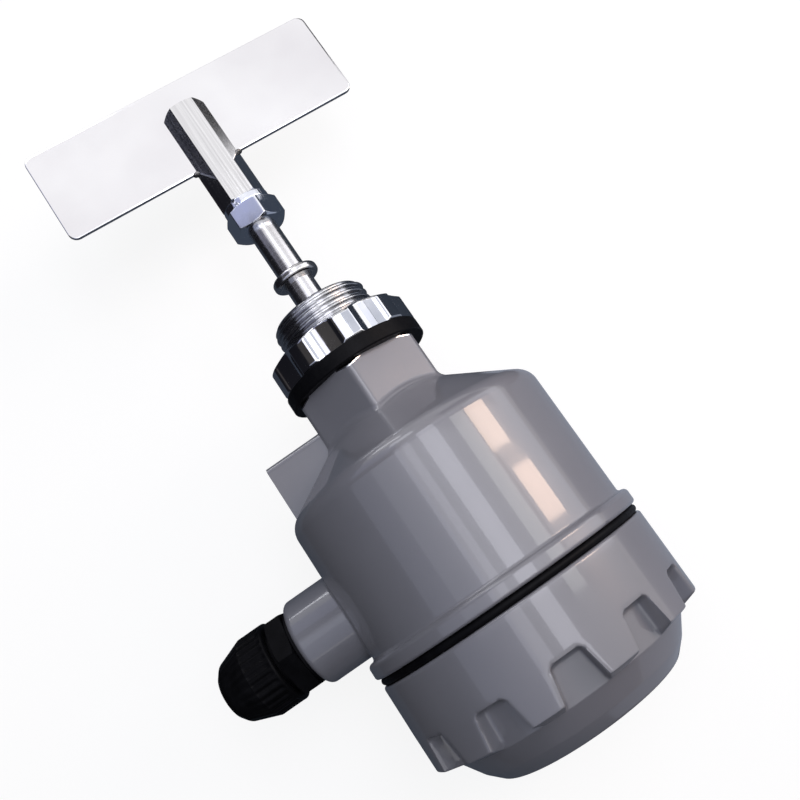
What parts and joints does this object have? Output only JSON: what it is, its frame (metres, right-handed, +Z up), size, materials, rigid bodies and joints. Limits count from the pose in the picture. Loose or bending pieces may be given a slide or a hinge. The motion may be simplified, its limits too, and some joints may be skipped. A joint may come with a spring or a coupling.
{
  "type": "rotary paddle level switch",
  "caption": "Level switch with a motor-driven paddle on a shaft, a pipe-thread neck with lock nut, a cast housing with screwed lugged cover, and a cable gland.",
  "frame": {"origin": "centre of the flat gasket seat on top of the hexagon neck", "axes": "+X along the shaft out of the housing towards the paddle, +Y along the cable gland, +Z up, as mounted through the side wall of a bin"},
  "size_m": [0.2468, 0.1412, 0.094],
  "materials": {
    "housing_paint": "gloss",
    "thread_steel": "turned",
    "nut_chrome": "polished",
    "stainless": "brushed",
    "paddle_steel": "polished",
    "rubber_black": "matte",
    "gland_black": "satin",
    "spring_steel": "bright",
    "bearing_steel": "ground",
    "plated_steel": "zinc plated",
    "brass": "turned",
    "motor_steel": "drawn",
    "switch_black": "moulded",
    "plunger_white": "moulded",
    "laminate_brown": "laminate",
    "terminal_cream": "moulded"
  },
  "bodies": {
    "housing": {"housing": "housing_paint", "process_nipple": "thread_steel", "gasket": "rubber_black", "shaft_seal": "rubber_black", "chassis_plate": "plated_steel", "chassis_screws": "plated_steel", "pivot_bush": "brass", "bush_clip": "spring_steel", "spring_anchor": "plated_steel", "return_spring": "spring_steel", "stop_pins": "plated_steel", "signal_switch": "switch_black", "stop_switch": "switch_black", "switch_screws": "plated_steel", "terminal_pillars": "plated_steel", "terminal_plate": "laminate_brown", "terminal_plate_screws": "plated_steel", "terminal_block": "terminal_cream", "terminal_screws": "brass", "earth_screw": "brass", "cover_seal": "rubber_black", "gland_washer": "rubber_black", "gland_body": "gland_black", "gland_insert": "rubber_black", "rear_bearing_clip": "spring_steel", "front_bearing_outer": "bearing_steel", "rear_bearing_outer": "bearing_steel"},
    "rotor": {"shaft": "stainless", "shaft_clips": "spring_steel", "front_bearing_inner": "bearing_steel", "rear_bearing_inner": "bearing_steel", "collar_ring": "stainless", "jam_nut": "stainless", "spring_washer": "spring_steel", "paddle_hub": "stainless", "paddle": "paddle_steel", "clutch_hub": "brass", "clutch_screws": "spring_steel", "drive_shaft": "bearing_steel"},
    "ball_sets": {"front_bearing_balls": "bearing_steel", "rear_bearing_balls": "bearing_steel"},
    "motor": {"swing_plate": "plated_steel", "cam": "plunger_white", "motor_posts": "plated_steel", "motor_gearbox": "plated_steel", "motor_case": "motor_steel", "spring_post": "plated_steel"},
    "signal_plunger": {"signal_plunger": "plunger_white"},
    "stop_plunger": {"stop_plunger": "plunger_white"},
    "cover": {"cover": "housing_paint"},
    "lock_nut": {"lock_nut": "nut_chrome"},
    "gland_nut": {"gland_nut": "gland_black"}
  },
  "joints": [
    {"name": "paddle_spin", "type": "hinge", "parent": "housing", "child": "rotor", "pos_m": [0, 0, 0], "axis": [1, 0, 0], "continuous": true},
    {"name": "bearing_roll", "type": "hinge", "parent": "housing", "child": "ball_sets", "pos_m": [0, 0, 0], "axis": [1, 0, 0], "continuous": true},
    {"name": "motor_swing", "type": "hinge", "parent": "housing", "child": "motor", "pos_m": [0, 0, 0], "axis": [1, 0, 0], "range_deg": [0, 20], "stiffness_Nm_per_rad": 0.25, "springref_deg": -34.38, "deforming": ["return_spring"]},
    {"name": "signal_plunger_press", "type": "slide", "parent": "housing", "child": "signal_plunger", "axis": [0, 0, 1], "range_m": [0, 0.0012]},
    {"name": "stop_plunger_release", "type": "slide", "parent": "housing", "child": "stop_plunger", "axis": [0, 0, 1], "range_m": [0, 0.0012]},
    {"name": "cover_slide", "type": "slide", "parent": "housing", "child": "cover", "axis": [-1, 0, 0], "range_m": [0, 0.07]},
    {"name": "lock_nut_slide", "type": "slide", "parent": "housing", "child": "lock_nut", "axis": [1, 0, 0], "range_m": [0, 0.0095]},
    {"name": "gland_nut_turn", "type": "hinge", "parent": "housing", "child": "gland_nut", "pos_m": [-0.0604, 0, 0], "axis": [0, 1, 0], "range_deg": [0, 360]}
  ],
  "couplings": [
    {"joint": "bearing_roll", "follows": "paddle_spin", "ratio": 0.3667},
    {"joint": "signal_plunger_press", "follows": "motor_swing", "m_per_rad": 0.003383},
    {"joint": "stop_plunger_release", "follows": "motor_swing", "m_per_rad": 0.003383}
  ]
}
